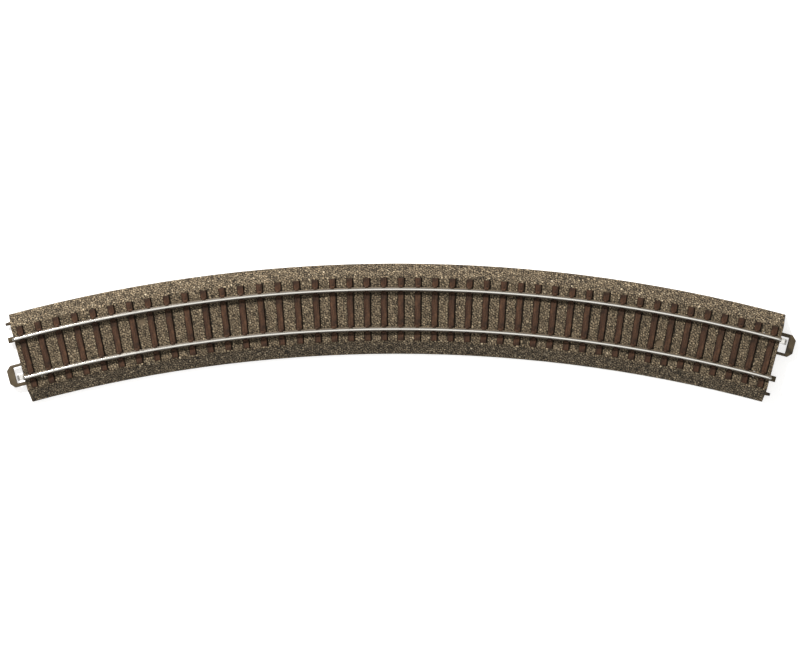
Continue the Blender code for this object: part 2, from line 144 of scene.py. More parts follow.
RAIL_HALF_SECTION = [
    (0.94, 0.0), (1.0, 0.06), (1.0, 0.2), (0.93, 0.26), (0.55, 0.42), (0.36, 0.54),
    (0.27, 0.75), (0.25, 1.0), (0.26, 1.25), (0.33, 1.42), (0.44, 1.5), (0.5, 1.56),
    (0.5, 1.88), (0.47, 1.98), (0.38, 2.06), (0.2, 2.095), (0.0, 2.1),
]
DUSTY_BELOW = (0.54, 0.12)  # top of the dusty foot, and the height over which it begins
WORN_ABOVE = (1.97, 0.11)  # bottom of the polished top, and the height over which it begins
PLATE_HALF = (1.08 * MM, 1.9 * MM)
PLATE_Z = (7.6 * MM, 8.17 * MM)
PLATE_BEVEL = 0.07 * MM
CLIP_SECTION = [  # distance from the rail's centre and height, from the lip round to the root
    (0.74, 8.64), (0.74, 8.72), (1.0, 8.8), (1.3, 8.74), (1.85, 8.32), (2.0, 7.75),
    (1.06, 7.75), (1.06, 8.52),
]
CLIP_CENTRE = (1.5, 8.3)
CLIP_HALF_WIDTH = 0.75 * MM
CLIP_WIDTHS = [(-1.0, 0.88), (-0.9, 1.0), (0.9, 1.0), (1.0, 0.88)]  # place and scale of each ring
BOLT_FROM_RAIL = 1.4 * MM
BOLT_PROFILE = [(0.24, 8.2), (0.24, 8.8), (0.16, 8.86)]
BOLT_SIDES = 6

# Risers that pass through the deck, and dimples in it
END_RISER_S = (-7.95 * MM, -7.05 * MM)
RISER_W = (7.65 * MM, 10.0 * MM)
RISER_Z = (6.5 * MM, 9 * MM)
FEEDER_AFTER = 2  # the feeder risers pass just after this sleeper, counted from 0
FEEDER_HALF = 0.45 * MM
DIMPLES = [(6, 4.5 * MM), (36, -4.5 * MM)]  # the sleeper before each, and its offset
DIMPLE_PROFILE = [(0.9, 7.22), (1.25, 7.27), (1.62, 7.5), (1.9, 8.3)]
DIMPLE_SIDES = 48

WELD = 0.001 * MM
BEVEL_SEGMENTS = 3

# Studio: each light's name, place, size, power and colour
LIGHTS = [
    ("key", (-0.84, 1.16, 1.25), 0.24, 48, (1.0, 0.975, 0.94)),
    ("fill", (0.9, -1.2, 1.3), 1.2, 3.5, (1.0, 1.0, 1.0)),
    ("overhead", (0, 0, 2.4), 1.3, 4.2, (1.0, 0.99, 0.97)),
]
LIGHTS_AIM = (0, -0.01, 0)
SKY_COLOUR = (1.0, 0.99, 0.97, 1)
SKY_STRENGTH = 0.34
FLOOR_HALF = 4
FLOOR_Z = -0.02 * MM
FLOOR_GLOW = 0.62
CAMERA_TARGET = (1.25 * MM, -10.8 * MM, 0)
CAMERA_AWAY = 1.75
CAMERA_LEAN = math.radians(1.8)
CAMERA_LENS, CAMERA_SENSOR = 178.0, 36.0
CAMERA_CLIP = (0.1, 20)

SEED = 20
KIND_SEED = 100  # each kind of sleeper has a seed of its own from here on

rng = np.random.default_rng(SEED)


# Places along the curve

def track_frame(angle, side=1):
    """The matrix from (s, w, z) to the world at an angle."""
    matrix = Matrix.Identity(4)
    matrix.col[0].xyz = Vector((math.cos(angle), -math.sin(angle), 0)) * side
    matrix.col[1].xyz = Vector((math.sin(angle), math.cos(angle), 0)) * side
    matrix.translation = (RADIUS * math.sin(angle), RADIUS * math.cos(angle) - RADIUS, 0)
    return matrix


def from_track(angle, u, z):
    """World places of track places, as rows of x, y, z."""
    return np.stack([(RADIUS + u) * np.sin(angle), (RADIUS + u) * np.cos(angle) - RADIUS, z], -1)


def to_track(points):
    """Angle, offset and height of world places."""
    x, y, z = points.T
    return np.arctan2(x, y + RADIUS), np.hypot(x, y + RADIUS) - RADIUS, z


def node_angle(name):
    low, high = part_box(name)
    middle = (low + high) / 2
    return math.atan2(middle.x, middle.y + RADIUS)


SLEEPER_NODES = sorted(name for name in frame["nodes"] if name.startswith("sleeper_"))
SLEEPER_ANGLES = [node_angle(name) for name in SLEEPER_NODES]


def angle_after(index):
    """Midway between a sleeper and the next one."""
    return (SLEEPER_ANGLES[index] + SLEEPER_ANGLES[index + 1]) / 2


# Mesh helpers

def mesh_object(name, mesh, matrix=None):
    obj = bpy.data.objects.new(name, mesh)
    obj.matrix_world = matrix or Matrix.Identity(4)
    bpy.context.scene.collection.objects.link(obj)
    return obj


def bm_mesh(name, bm):
    """A mesh from a bmesh, which is freed."""
    bmesh.ops.recalc_face_normals(bm, faces=bm.faces)
    mesh = bpy.data.meshes.new(name)
    bm.to_mesh(mesh)
    bm.free()
    return mesh


def ring_mesh(name, rings):
    """A closed body through rings of points, capped at both ends."""
    rings = np.asarray(rings)
    count, size, _ = rings.shape
    first = np.arange(count * size).reshape(count, size)
    after = np.roll(first, -1, axis=1)
    quads = np.stack([first[:-1], first[1:], after[1:], after[:-1]], -1).reshape(-1, 4)
    faces = quads.tolist() + [first[0].tolist(), first[-1][::-1].tolist()]
    mesh = bpy.data.meshes.new(name)
    mesh.from_pydata(rings.reshape(-1, 3).tolist(), [], faces)
    bm = bmesh.new()
    bm.from_mesh(mesh)
    bpy.data.meshes.remove(mesh)
    return bm_mesh(name, bm)


def round_edges(bm, edges, width):
    bmesh.ops.bevel(bm, geom=edges, offset=width, segments=BEVEL_SEGMENTS, profile=0.5,
                    affect="EDGES", clamp_overlap=True)


def joined(name, shapes):
    """One mesh from (mesh, matrix) pairs."""
    bm = bmesh.new()
    for mesh, matrix in shapes:
        copy = mesh.copy()
        copy.transform(matrix)
        bm.from_mesh(copy)
        bpy.data.meshes.remove(copy)
    return bm_mesh(name, bm)


def block(s_range, w_range, z_range, bevel=0.0):
    """A box between the given limits, its edges rounded if there is a bevel."""
    bm = bmesh.new()
    bmesh.ops.create_cube(bm, size=1)
    ranges = (s_range, w_range, z_range)
    bmesh.ops.scale(bm, vec=[high - low for low, high in ranges], verts=bm.verts)
    bmesh.ops.translate(bm, vec=[(high + low) / 2 for low, high in ranges], verts=bm.verts)
    if bevel:
        round_edges(bm, bm.edges, bevel)
    return bm_mesh("block", bm)


def lathe(profile, segments):
    """A closed turned body from (radius, height) pairs."""
    turn = np.linspace(0, 2 * math.pi, segments, endpoint=False)
    rings = [
        np.stack([r * np.cos(turn), r * np.sin(turn), np.full(segments, z)], -1)
        for r, z in profile
    ]
    return ring_mesh("lathe", rings)


def with_booleans(name, mesh, steps):
    """The mesh after each (operation, operand mesh) in turn."""
    target = mesh_object(name, mesh)
    operands = []
    for operation, operand in steps:
        other = mesh_object(name + "_operand", operand)
        operands.append(other)
        modifier = target.modifiers.new(operation, "BOOLEAN")
        modifier.operation = operation
        modifier.solver = "MANIFOLD"
        modifier.object = other
    bpy.context.view_layer.update()
    evaluated = target.evaluated_get(bpy.context.evaluated_depsgraph_get())
    result = bpy.data.meshes.new_from_object(evaluated)
    result.name = name
    for obj in (target, *operands):
        bpy.data.objects.remove(obj)
    if not result.polygons:
        raise RuntimeError(f"{name}: a boolean came out empty")
    return result


def soften(mesh, angle=40):
    """Smooth shading, with edges sharper than the angle kept sharp."""
    mesh.shade_smooth()
    mesh.set_sharp_from_angle(angle=math.radians(angle))


def welded(node):
    """A bmesh copy of a CAD node, with the vertices that the file format split joined again."""
    bm = bmesh.new()
    bm.from_mesh(frame["nodes"][node].data)
    bmesh.ops.remove_doubles(bm, verts=bm.verts, dist=WELD)
    return bm


def place(piece, body, slot, *nodes):
    """Says which body a piece rides on and the CAD nodes it stands for, which are hidden. The
    material slot is not used.
    """
    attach(piece, body)
    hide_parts(*nodes)


# Materials

def node(tree, kind, settings=None, **inputs):
    """A shader node. Inputs are values or sockets, and an underscore stands for a space."""
    made = tree.nodes.new("ShaderNode" + kind)
    for key, value in (settings or {}).items():
        setattr(made, key, value)
    for key, value in inputs.items():
        socket = made.inputs[key.replace("_", " ")]
        if isinstance(value, bpy.types.NodeSocket):
            tree.links.new(value, socket)
        else:
            socket.default_value = value
    return made


def maths(tree, operation, a, b=0.5):
    made = tree.nodes.new("ShaderNodeMath")
    made.operation = operation
    for socket, value in zip(made.inputs, (a, b)):
        if isinstance(value, bpy.types.NodeSocket):
            tree.links.new(value, socket)
        else:
            socket.default_value = value
    return made.outputs[0]


def mix(tree, factor, a, b, blend="MIX"):
    made = tree.nodes.new("ShaderNodeMix")
    made.data_type = "RGBA"
    made.blend_type = blend
    for index, value in ((0, factor), (6, a), (7, b)):
        if isinstance(value, bpy.types.NodeSocket):
            tree.links.new(value, made.inputs[index])
        else:
            made.inputs[index].default_value = value
    return made.outputs[2]


def ramp(tree, factor, stops):
    """A colour ramp through (position, colour) stops."""
    made = tree.nodes.new("ShaderNodeValToRGB")
    tree.links.new(factor, made.inputs[0])
    elements = made.color_ramp.elements
    while len(elements) < len(stops):
        elements.new(0.5)
    for element, (position, colour) in zip(elements, stops):
        element.position = position
        element.color = (*colour, 1)
    return made.outputs[0]


def grey(value):
    return (value, value, value)


def new_material(name):
    material = bpy.data.materials.new(name)
    material.use_nodes = True
    return material, material.node_tree, material.node_tree.nodes["Principled BSDF"]


def noise(tree, vector, scale, detail=4.0, roughness=0.6):
    return node(tree, "TexNoise", Vector=vector, Scale=scale, Detail=detail, Roughness=roughness)


def stretched(tree, vector, scale):
    return node(tree, "Mapping", Vector=vector, Scale=scale).outputs[0]


def bump(tree, shader, height, distance, strength=1.0):
    made = node(tree, "Bump", Height=height, Distance=distance, Strength=strength)
    tree.links.new(made.outputs[0], shader.inputs["Normal"])


def object_place(tree):
    return node(tree, "TexCoord").outputs["Object"]


def attribute(tree, name, output="Fac"):
    return node(tree, "Attribute", {"attribute_name": name}).outputs[output]


def ballast_material():
    """Stones of mixed tones with painted shade in the gaps between them; plain moulded plastic
    where there is no grain.

    The specks on the shoulders' stones are stronger than those on the flat top.
    """
    material, tree, shader = new_material("ballast")
    here = object_place(tree)
    stones = ramp(tree, attribute(tree, "tone"), [
        (0.0, (0.1, 0.075, 0.047)), (0.3, (0.185, 0.141, 0.09)), (0.6, (0.262, 0.204, 0.132)),
        (0.8, (0.36, 0.289, 0.193)), (1.0, (0.5, 0.42, 0.3)),
    ])
    speck = noise(tree, here, 1800, 2).outputs["Fac"]
    contrast = mix(tree, attribute(tree, "slope"),
                   ramp(tree, speck, [(0.36, grey(0.25)), (0.64, grey(1.75))]),
                   ramp(tree, speck, [(0.38, grey(0.05)), (0.62, grey(1.95))]))
    stones = mix(tree, 1.0, stones, contrast, "MULTIPLY")
    # painted shade: darker towards the gaps between the stones
    gap = ramp(tree, attribute(tree, "edge"), [(0.08, grey(0.06)), (0.85, grey(1.0))])
    stones = mix(tree, 1.0, stones, gap, "MULTIPLY")
    patch = noise(tree, here, 70, 3).outputs["Fac"]
    stones = mix(tree, 0.25, stones, ramp(tree, patch, [(0.3, grey(0.82)), (0.7, grey(1.15))]),
                 "MULTIPLY")
    plain = mix(tree, 0.5, attribute(tree, "tint", "Color"),
                ramp(tree, noise(tree, here, 900).outputs["Fac"],
                     [(0.3, grey(0.75)), (0.7, grey(1.2))]), "MULTIPLY")
    grain = attribute(tree, "grain")
    tree.links.new(mix(tree, grain, plain, stones), shader.inputs["Base Color"])
    rough = node(tree, "MapRange", Value=speck, To_Min=0.72, To_Max=0.95)
    tree.links.new(rough.outputs[0], shader.inputs["Roughness"])
    shader.inputs["Specular IOR Level"].default_value = 0.2
    bump(tree, shader, noise(tree, here, 3800, 5).outputs["Fac"], 0.05 * MM, 0.6)
    return material


def sleeper_material():
    """Dark red-brown plastic with wood grain along the sleeper, paler patches and painted shade
    along its long edges.
    """
    material, tree, shader = new_material("sleeper")
    here = object_place(tree)
    grain = noise(tree, stretched(tree, here, (1.0, 0.09, 1.0)), 2100, 6).outputs["Fac"]
    colour = ramp(tree, grain, [
        (0.25, (0.021, 0.0112, 0.0066)), (0.5, (0.054, 0.0277, 0.0155)),
        (0.78, (0.107, 0.06, 0.0335)),
    ])
    patch = noise(tree, here, 420, 3).outputs["Fac"]
    rubbed = ramp(tree, patch, [(0.36, (0.5, 0.52, 0.54)), (0.66, (1.45, 1.35, 1.3))])
    colour = mix(tree, 0.9, colour, rubbed, "MULTIPLY")
    # painted shade: darker towards the sleeper's long edges
    from_middle = maths(tree, "ABSOLUTE", node(tree, "SeparateXYZ", Vector=here).outputs["X"])
    shade = maths(tree, "DIVIDE", from_middle, SLEEPER_HALF[0])
    colour = mix(tree, 1.0, colour, ramp(tree, shade, [(0.6, grey(1.0)), (1.0, grey(0.42))]),
                 "MULTIPLY")
    own = node(tree, "ObjectInfo").outputs["Random"]
    colour = mix(tree, 1.0, colour, ramp(tree, own, [(0.0, grey(0.88)), (1.0, grey(1.12))]),
                 "MULTIPLY")
    tree.links.new(colour, shader.inputs["Base Color"])
    rough = node(tree, "MapRange", Value=grain, To_Min=0.58, To_Max=0.85)
    tree.links.new(rough.outputs[0], shader.inputs["Roughness"])
    shader.inputs["Specular IOR Level"].default_value = 0.2
    bump(tree, shader, grain, 0.05 * MM, 0.7)
    return material


def rail_material():
    """Nickel silver: polished by wheels on top; rougher at the sides and made near black there as
    painted shade; dusty brown at the foot.
    """
    material, tree, shader = new_material("rail_metal")
    along = attribute(tree, "track", "Vector")
    streak = noise(tree, stretched(tree, along, (0.02, 1.0, 1.0)), 9000, 4).outputs["Fac"]
    blotch = noise(tree, along, 240, 4).outputs["Fac"]
    top = ramp(tree, attribute(tree, "top"), [(0.4, grey(0.0)), (0.75, grey(1.0))])
    polished = ramp(tree, streak, [(0.3, (0.7, 0.68, 0.63)), (0.7, (0.92, 0.9, 0.84))])
    # painted shade: the sides of the head and the web are near black
    dull_and_shaded = ramp(tree, blotch, [(0.3, (0.05, 0.044, 0.037)), (0.7, (0.105, 0.093, 0.079))])
    speck = noise(tree, along, 2600).outputs["Fac"]
    dusty = ramp(tree, speck, [(0.3, (0.05, 0.038, 0.025)), (0.7, (0.17, 0.13, 0.085))])
    foot = attribute(tree, "foot")
    colour = mix(tree, foot, mix(tree, top, dull_and_shaded, polished), dusty)
    tree.links.new(colour, shader.inputs["Base Color"])
    metal = node(tree, "MapRange", Value=attribute(tree, "top"), From_Min=0.3, From_Max=0.8,
                 To_Min=0.3, To_Max=1.0)
    bare = maths(tree, "MULTIPLY", metal.outputs[0], maths(tree, "SUBTRACT", 1.0, foot))
    tree.links.new(bare, shader.inputs["Metallic"])
    rough = mix(tree, top, ramp(tree, blotch, [(0.3, grey(0.38)), (0.7, grey(0.55))]),
                ramp(tree, streak, [(0.3, grey(0.12)), (0.7, grey(0.2))]))
    tree.links.new(rough, shader.inputs["Roughness"])
    bump(tree, shader, streak, 0.01 * MM, 0.35)
    return material


def moulded_material(name, dark, light, roughness):
    """Smooth moulded plastic with faint flow marks and a fine satin grain."""
    material, tree, shader = new_material(name)
    here = object_place(tree)
    flow = noise(tree, here, 260, 4).outputs["Fac"]
    fine = noise(tree, here, 5200, 3).outputs["Fac"]
    tree.links.new(ramp(tree, flow, [(0.3, dark), (0.7, light)]), shader.inputs["Base Color"])
    rough = node(tree, "MapRange", Value=fine, To_Min=roughness - 0.08, To_Max=roughness + 0.1)
    tree.links.new(rough.outputs[0], shader.inputs["Roughness"])
    bump(tree, shader, fine, 0.012 * MM, 0.5)
    return material


def sheet_metal(name, dark, light, roughness):
    """Rolled sheet metal with fine brushing and faint stains."""
    material, tree, shader = new_material(name)
    here = object_place(tree)
    brushed = noise(tree, stretched(tree, here, (0.08, 1.0, 1.0)), 7000, 4).outputs["Fac"]
    stain = noise(tree, here, 500, 3).outputs["Fac"]
    tree.links.new(ramp(tree, stain, [(0.3, dark), (0.65, light)]), shader.inputs["Base Color"])
    shader.inputs["Metallic"].default_value = 1.0
    rough = node(tree, "MapRange", Value=brushed, To_Min=roughness - 0.08, To_Max=roughness + 0.12)
    tree.links.new(rough.outputs[0], shader.inputs["Roughness"])
    bump(tree, shader, brushed, 0.01 * MM, 0.4)
    return material


# Ballast

def stone_field():
    """Stones on a jittered lattice over the bed's surface: places, sizes, tops, tilts, tones."""
    rows = int(FIELD[0] / (STONE * STONE_ROW)) + 2 * FIELD_PAD
    columns = int(FIELD[1] / STONE) + 2 * FIELD_PAD
    shape = (rows, columns)
    shift = 0.5 * (np.arange(rows) % 2)[:, None]
    along = (np.arange(rows)[:, None] - FIELD_PAD) * STONE * STONE_ROW - FIELD[0] / 2
    across = (np.arange(columns)[None, :] - FIELD_PAD + shift) * STONE - FIELD[1] / 2
    reach = STONE_JITTER * STONE
    return {
        "along": along + rng.uniform(-reach, reach, shape),
        "across": across + rng.uniform(-reach, reach, shape),
        "size": rng.uniform(-STONE_UNEVEN, STONE_UNEVEN, shape),
        "top": rng.uniform(*STONE_HEIGHT, shape),
        "tilt_along": rng.uniform(-STONE_TILT, STONE_TILT, shape),
        "tilt_across": rng.uniform(-STONE_TILT, STONE_TILT, shape),
        "tone": rng.beta(*STONE_TONES, shape),
    }


FIELD_OF_STONES = stone_field()
FAR = 1.0  # metres, further than any stone
SLOPE = np.array([BED_HALF - CREST_LOW[0], TOE_HEIGHT - CREST_LOW[1]])
SLOPE = SLOPE / np.hypot(*SLOPE)


def over_surface(u, z):
    """Distance from the centreline measured over the bed's surface."""
    beyond = np.maximum(np.abs(u) - CREST_EDGE, 0) * SLOPE[0]
    down = np.maximum(BED_TOP - z, 0) * -SLOPE[1]
    slope = np.where(beyond > 0, beyond + down, 0) * SLOPE_STRETCH
    return np.sign(u) * (np.minimum(np.abs(u), CREST_EDGE) + slope)


def stones_at(angle, u, z):
    """Height, closeness to a stone's middle (0 at a gap) and tone at each place."""
    field = FIELD_OF_STONES
    rows, columns = field["tone"].shape
    a, v = angle * RADIUS, over_surface(u, z)
    row = np.floor((a + FIELD[0] / 2) / (STONE * STONE_ROW)).astype(int) + FIELD_PAD
    column = np.floor((v + FIELD[1] / 2) / STONE).astype(int) + FIELD_PAD
    best, second = np.full(a.shape, FAR), np.full(a.shape, FAR)
    pick = np.zeros(a.shape, int)
    for row_step in range(-2, 4):
        for column_step in range(-2, 3):
            i = np.clip(row + row_step, 0, rows - 1)
            j = np.clip(column + column_step, 0, columns - 1)
            away = np.hypot(a - field["along"][i, j], v - field["across"][i, j])
            away = away - field["size"][i, j]
            closer = away < best
            second = np.where(closer, best, np.minimum(second, away))
            pick = np.where(closer, i * columns + j, pick)
            best = np.where(closer, away, best)
    edge = np.clip((second - best) / 2 / STONE_SHOULDER, 0, 1)
    dome = np.sqrt(1 - (1 - edge) ** 2)
    chosen = {key: values.ravel()[pick] for key, values in field.items()}
    tilt = chosen["tilt_along"] * (a - chosen["along"])
    tilt = tilt + chosen["tilt_across"] * (v - chosen["across"])
    height = np.maximum(chosen["top"] * dome + tilt * edge, 0)
    return np.minimum(height, SKIN_MOST), edge, chosen["tone"]


def skin_mesh():
    """A closed skin over the bed's upper side: stones outside, a plain side sunk in the bed."""
    half = np.array([*SKIN_TOE, CREST_LOW, (CREST_EDGE, BED_TOP)])
    corners = np.concatenate([half, half[::-1] * (-1, 1)])
    reach = np.concatenate([[0], np.cumsum(np.hypot(*np.diff(corners, axis=0).T))])
    stations = np.linspace(0, reach[-1], round(reach[-1] / SKIN_STEP))
    u, z = (np.interp(stations, reach, corners[:, k]) for k in (0, 1))
    out_u, out_z = np.gradient(z), -np.gradient(u)
    length = np.hypot(out_u, out_z)
    from_end = np.minimum(stations, reach[-1] - stations)
    taper = np.clip((from_end - TAPER_START) / TAPER_LENGTH, 0, 1)
    lower = np.array(SKIN_UNDERSIDE) * MM
    end = HALF_ARC - SKIN_END_GAP / RADIUS
    rings = []
    for angle in np.linspace(-end, end, round(2 * end * RADIUS / SKIN_STEP)):
        height, _, _ = stones_at(np.full(u.shape, angle), u, z)
        lift = (SKIN_LIFT + height) * taper
        upper = from_track(angle, u + out_u / length * lift, z + out_z / length * lift)
        rings.append(np.concatenate([upper, from_track(angle, lower[:, 0], lower[:, 1])]))
    return ring_mesh("skin", rings)


def bed_cutters():
    """What the skin has to leave open: sleeper pockets, contact risers and dimples."""
    shapes = []
    half_s, half_w = (half + CLEARANCE for half in SLEEPER_HALF)
    pocket_s = (-half_s, SLEEPER_HALF[0] + GROOVE)
    pocket = block(pocket_s, (-half_w, half_w), POCKET_Z)
    shapes += [(pocket, track_frame(angle)) for angle in SLEEPER_ANGLES]
    both_sides = (RISER_W, (-RISER_W[1], -RISER_W[0]))
    for side in (-1, 1):
        for w_range in both_sides:
            riser = block(END_RISER_S, w_range, RISER_Z)
            shapes.append((riser, track_frame(side * HALF_ARC, side)))
    for w_range in both_sides:
        riser = block((-FEEDER_HALF, FEEDER_HALF), w_range, RISER_Z)
        shapes.append((riser, track_frame(angle_after(FEEDER_AFTER))))
    dimple = lathe([(r * MM, z * MM) for r, z in DIMPLE_PROFILE], DIMPLE_SIDES)
    for index, offset in DIMPLES:
        matrix = track_frame(angle_after(index)) @ Matrix.Translation((0, offset, 0))
        shapes.append((dimple, matrix))
    return joined("cutters", shapes)


def set_values(mesh, name, values):
    layer = mesh.attributes.new(name, "FLOAT", "POINT")
    layer.data.foreach_set("value", np.asarray(values, np.float32))


def mark_stones(mesh):
    """Writes what the ballast material reads at each vertex.

    tone is the stone's tone, darker between the rails as painted shade and dirt, edge is 0 at a
    gap, where the material paints shade, grain is 1 on the skin, slope is 1 on the shoulders and
    tint is the colour where there is no grain, with painted shade in the gap beside each sleeper.
    """
    points = np.zeros(len(mesh.vertices) * 3)
    mesh.vertices.foreach_get("co", points)
    angle, u, z = to_track(points.reshape(-1, 3))
    _, edge, tone = stones_at(angle, u, z)
    past_slope = (np.abs(u) - BED_HALF) * -SLOPE[1] + (z - TOE_HEIGHT) * SLOPE[0]
    outside = np.maximum(past_slope, z - BED_TOP)
    on_skin = (outside > ON_SKIN) & (np.abs(angle) < HALF_ARC)
    on_slope = np.abs(u) > CREST_EDGE
    tone = np.where(on_slope, SLOPE_TONE + (tone - 0.5) * SLOPE_SPREAD, tone)
    # painted shade and dirt: the stones between the rails are darker
    tone = np.where(np.abs(u) < RAIL_OFFSET, tone - BETWEEN_SHADE_AND_DIRT, tone)
    # painted shade: the gap beside each sleeper is made dark and loses its stone grain
    beside = ((angle[:, None] - np.array(SLEEPER_ANGLES)) * RADIUS - SLEEPER_HALF[0]) / GROOVE
    groove_shade_mask = (np.abs(beside - 0.5) < GROOVE_SHADE_REACH).any(axis=1) & (z > SLEEPER_Z[0])
    groove_shade_mask = groove_shade_mask & (np.abs(u) < SLEEPER_HALF[1] + CLEARANCE)
    edge = np.where(groove_shade_mask, 0, edge)
    set_values(mesh, "tone", np.clip(tone, 0, 1))
    set_values(mesh, "edge", edge)
    set_values(mesh, "grain", on_skin)
    set_values(mesh, "slope", on_slope)
    tint = np.tile(np.array(PLAIN_TINT, np.float32), (len(u), 1))
    # painted shade: the gap beside each sleeper is tinted near black
    tint[groove_shade_mask] = GROOVE_SHADE_TINT
    past_end = np.abs(angle) > HALF_ARC + PAST_END / RADIUS
    tint[past_end] = TAB_TINT
    tint[past_end & (np.abs(u) > PIN_FROM)] = PIN_TINT
    layer = mesh.attributes.new("tint", "FLOAT_COLOR", "POINT")
    layer.data.foreach_set("color", tint.ravel())


def make_ballast():
    """The CAD roadbed with the stone skin on it, opened for what passes through."""
    bed = bm_mesh("bed", welded("roadbed"))
    steps = [("UNION", skin_mesh()), ("DIFFERENCE", bed_cutters())]
    mesh = with_booleans("ballast_bed", bed, steps)
    mark_stones(mesh)
    mesh.materials.clear()
    mesh.materials.append(ballast_material())
    soften(mesh, 50)
    place(mesh_object("ballast_bed", mesh), "track_bed", "ballast_plastic", "roadbed")


# Sleepers

def plank(kind):
    """A sleeper's body with split grain along its top and rounded arrises."""
    half_s, half_w = SLEEPER_HALF
    low, high = SLEEPER_Z
    top_s = np.linspace(-half_s + TOP_INSET, half_s - TOP_INSET, PLANK_TOP_POINTS)
    split_s = kind.uniform(-SPLIT_REACH, SPLIT_REACH, SPLITS) * half_s
    split_deep = kind.uniform(*SPLIT_DEEP, SPLITS) * MM
    split_wide = kind.uniform(*SPLIT_WIDE, SPLITS) * MM
    wave = kind.uniform(*SPLIT_WAVE, SPLITS)
    phase = kind.uniform(*SPLIT_PHASE, SPLITS)
    middle_w = kind.uniform(-SPLIT_MIDDLE, SPLIT_MIDDLE, SPLITS) * half_w
    reach_w = kind.uniform(*SPLIT_LENGTH, SPLITS) * half_w
    round_length, round_deep = END_ROUND
    rings = []
    for w in np.linspace(-half_w, half_w, PLANK_RINGS):
        near_end = max(0.0, 1 - (half_w - abs(w)) / round_length) ** 2 * round_deep
        wander = split_s + SPLIT_WANDER * np.sin(wave * w + phase)
        fade = np.clip(SPLIT_FADE - np.abs(w - middle_w) / reach_w, 0, 1)
        apart = (top_s[:, None] - wander[None, :]) / split_wide
        groove = (np.exp(-apart ** 2) * (split_deep * fade)).sum(1)
        top_z = high - np.minimum(groove, SPLIT_MOST) - near_end
        side = half_s - near_end * END_ROUND_SIDE
        arris_low, arris_high = (high - deep - near_end for deep in ARRIS_DEEP)
        ring = [(-side, low), (-side, arris_low), (-side + ARRIS_IN, arris_high)]
        ring += list(zip(top_s, top_z))
        ring += [(side - ARRIS_IN, arris_high), (side, arris_low), (side, low)]
        rings.append([(s, w, z) for s, z in ring])
    return ring_mesh("plank", rings)


def clip_mesh(rail, side):
    """One chair clip: a lip over the rail's foot, a hump, and a slope down to the sleeper."""
    rings = []
    centre = np.array(CLIP_CENTRE)
    for part, scale in CLIP_WIDTHS:
        section = (np.array(CLIP_SECTION) - centre) * scale + centre
        rings.append([
            (part * CLIP_HALF_WIDTH, rail + side * w * MM, z * MM) for w, z in section
        ])
    return ring_mesh("clip", rings)


def sleeper_mesh(number):
    """One kind of sleeper, with a chair under each rail."""
    kind = np.random.default_rng(KIND_SEED + number)
    here = Matrix.Identity(4)
    plates, clips, bolts = [], [], []
    bolt = lathe([(r * MM, z * MM) for r, z in BOLT_PROFILE], BOLT_SIDES)
    plate_s, plate_half_w = (-PLATE_HALF[0], PLATE_HALF[0]), PLATE_HALF[1]
    for rail in (-RAIL_OFFSET, RAIL_OFFSET):
        plate_w = (rail - plate_half_w, rail + plate_half_w)
        plates.append((block(plate_s, plate_w, PLATE_Z, PLATE_BEVEL), here))
        for side in (-1, 1):
            clips.append((clip_mesh(rail, side), here))
            spot = (0, rail + side * BOLT_FROM_RAIL, 0)
            bolts.append((bolt, Matrix.Translation(spot)))
    return with_booleans(f"tie_{number}", plank(kind), [
        ("UNION", joined("plates", plates)),
        ("UNION", joined("clips", clips)),
        ("UNION", joined("bolts", bolts)),
    ])


def make_sleepers():
    """All the sleepers: a few kinds shared between them, some turned end for end."""
    material = sleeper_material()
    kinds = []
    for number in range(SLEEPER_KINDS):
        mesh = sleeper_mesh(number)
        mesh.materials.clear()
        mesh.materials.append(material)
        soften(mesh)
        kinds.append(mesh)
    order = rng.integers(0, SLEEPER_KINDS, len(SLEEPER_ANGLES))
    turned = rng.integers(0, 2, len(SLEEPER_ANGLES))
    for index, name in enumerate(SLEEPER_NODES):
        side = -1 if turned[index] else 1
        matrix = track_frame(SLEEPER_ANGLES[index], side)
        tie = mesh_object(name.replace("sleeper", "tie"), kinds[order[index]], matrix)
        place(tie, "track_bed", "sleeper_plastic", name)


# Rails

def make_rail(name, offset, material, cad_node):
    """One rail swept along the curve, with values along and around it for its material."""
    half = np.array(RAIL_HALF_SECTION) * MM
    section = np.concatenate([half, half[-2::-1] * (-1, 1)])
    around = np.concatenate([[0], np.cumsum(np.hypot(*np.diff(section, axis=0).T))])
    reach = HALF_ARC + RAIL_OVERRUN / RADIUS
    angles = np.linspace(-reach, reach, RAIL_STEPS + 1)
    angles = np.concatenate([angles[:1], angles[:1] + RAIL_CHAMFER / RADIUS, angles[1:-1],
                             angles[-1:] - RAIL_CHAMFER / RADIUS, angles[-1:]])
    scales = np.ones(len(angles))
    scales[[0, -1]] = RAIL_END_SCALE
    centre = np.array([0, RAIL_CENTRE_Z])
    rings = []
    for angle, scale in zip(angles, scales):
        shape = (section - centre) * scale + centre
        rings.append(from_track(angle, offset + shape[:, 0], RAIL_FOOT_Z + shape[:, 1]))
    mesh = ring_mesh(name, rings)
    along = np.repeat(angles * RADIUS, len(section))
    layer = mesh.attributes.new("track", "FLOAT_VECTOR", "POINT")
    place_on = np.stack([along, np.tile(around, len(angles)), np.zeros(len(along))], -1)
    layer.data.foreach_set("vector", place_on.astype(np.float32).ravel())
    height = section[:, 1] / MM
    foot = np.clip((DUSTY_BELOW[0] - height) / DUSTY_BELOW[1], 0, 1)
    top = np.clip((height - WORN_ABOVE[0]) / WORN_ABOVE[1], 0, 1)
    set_values(mesh, "foot", np.tile(foot, len(angles)))
    set_values(mesh, "top", np.tile(top, len(angles)))
    mesh.materials.append(material)
    soften(mesh, 55)
    place(mesh_object(name, mesh), "track_bed", "rail_steel", cad_node)


# Small end pieces

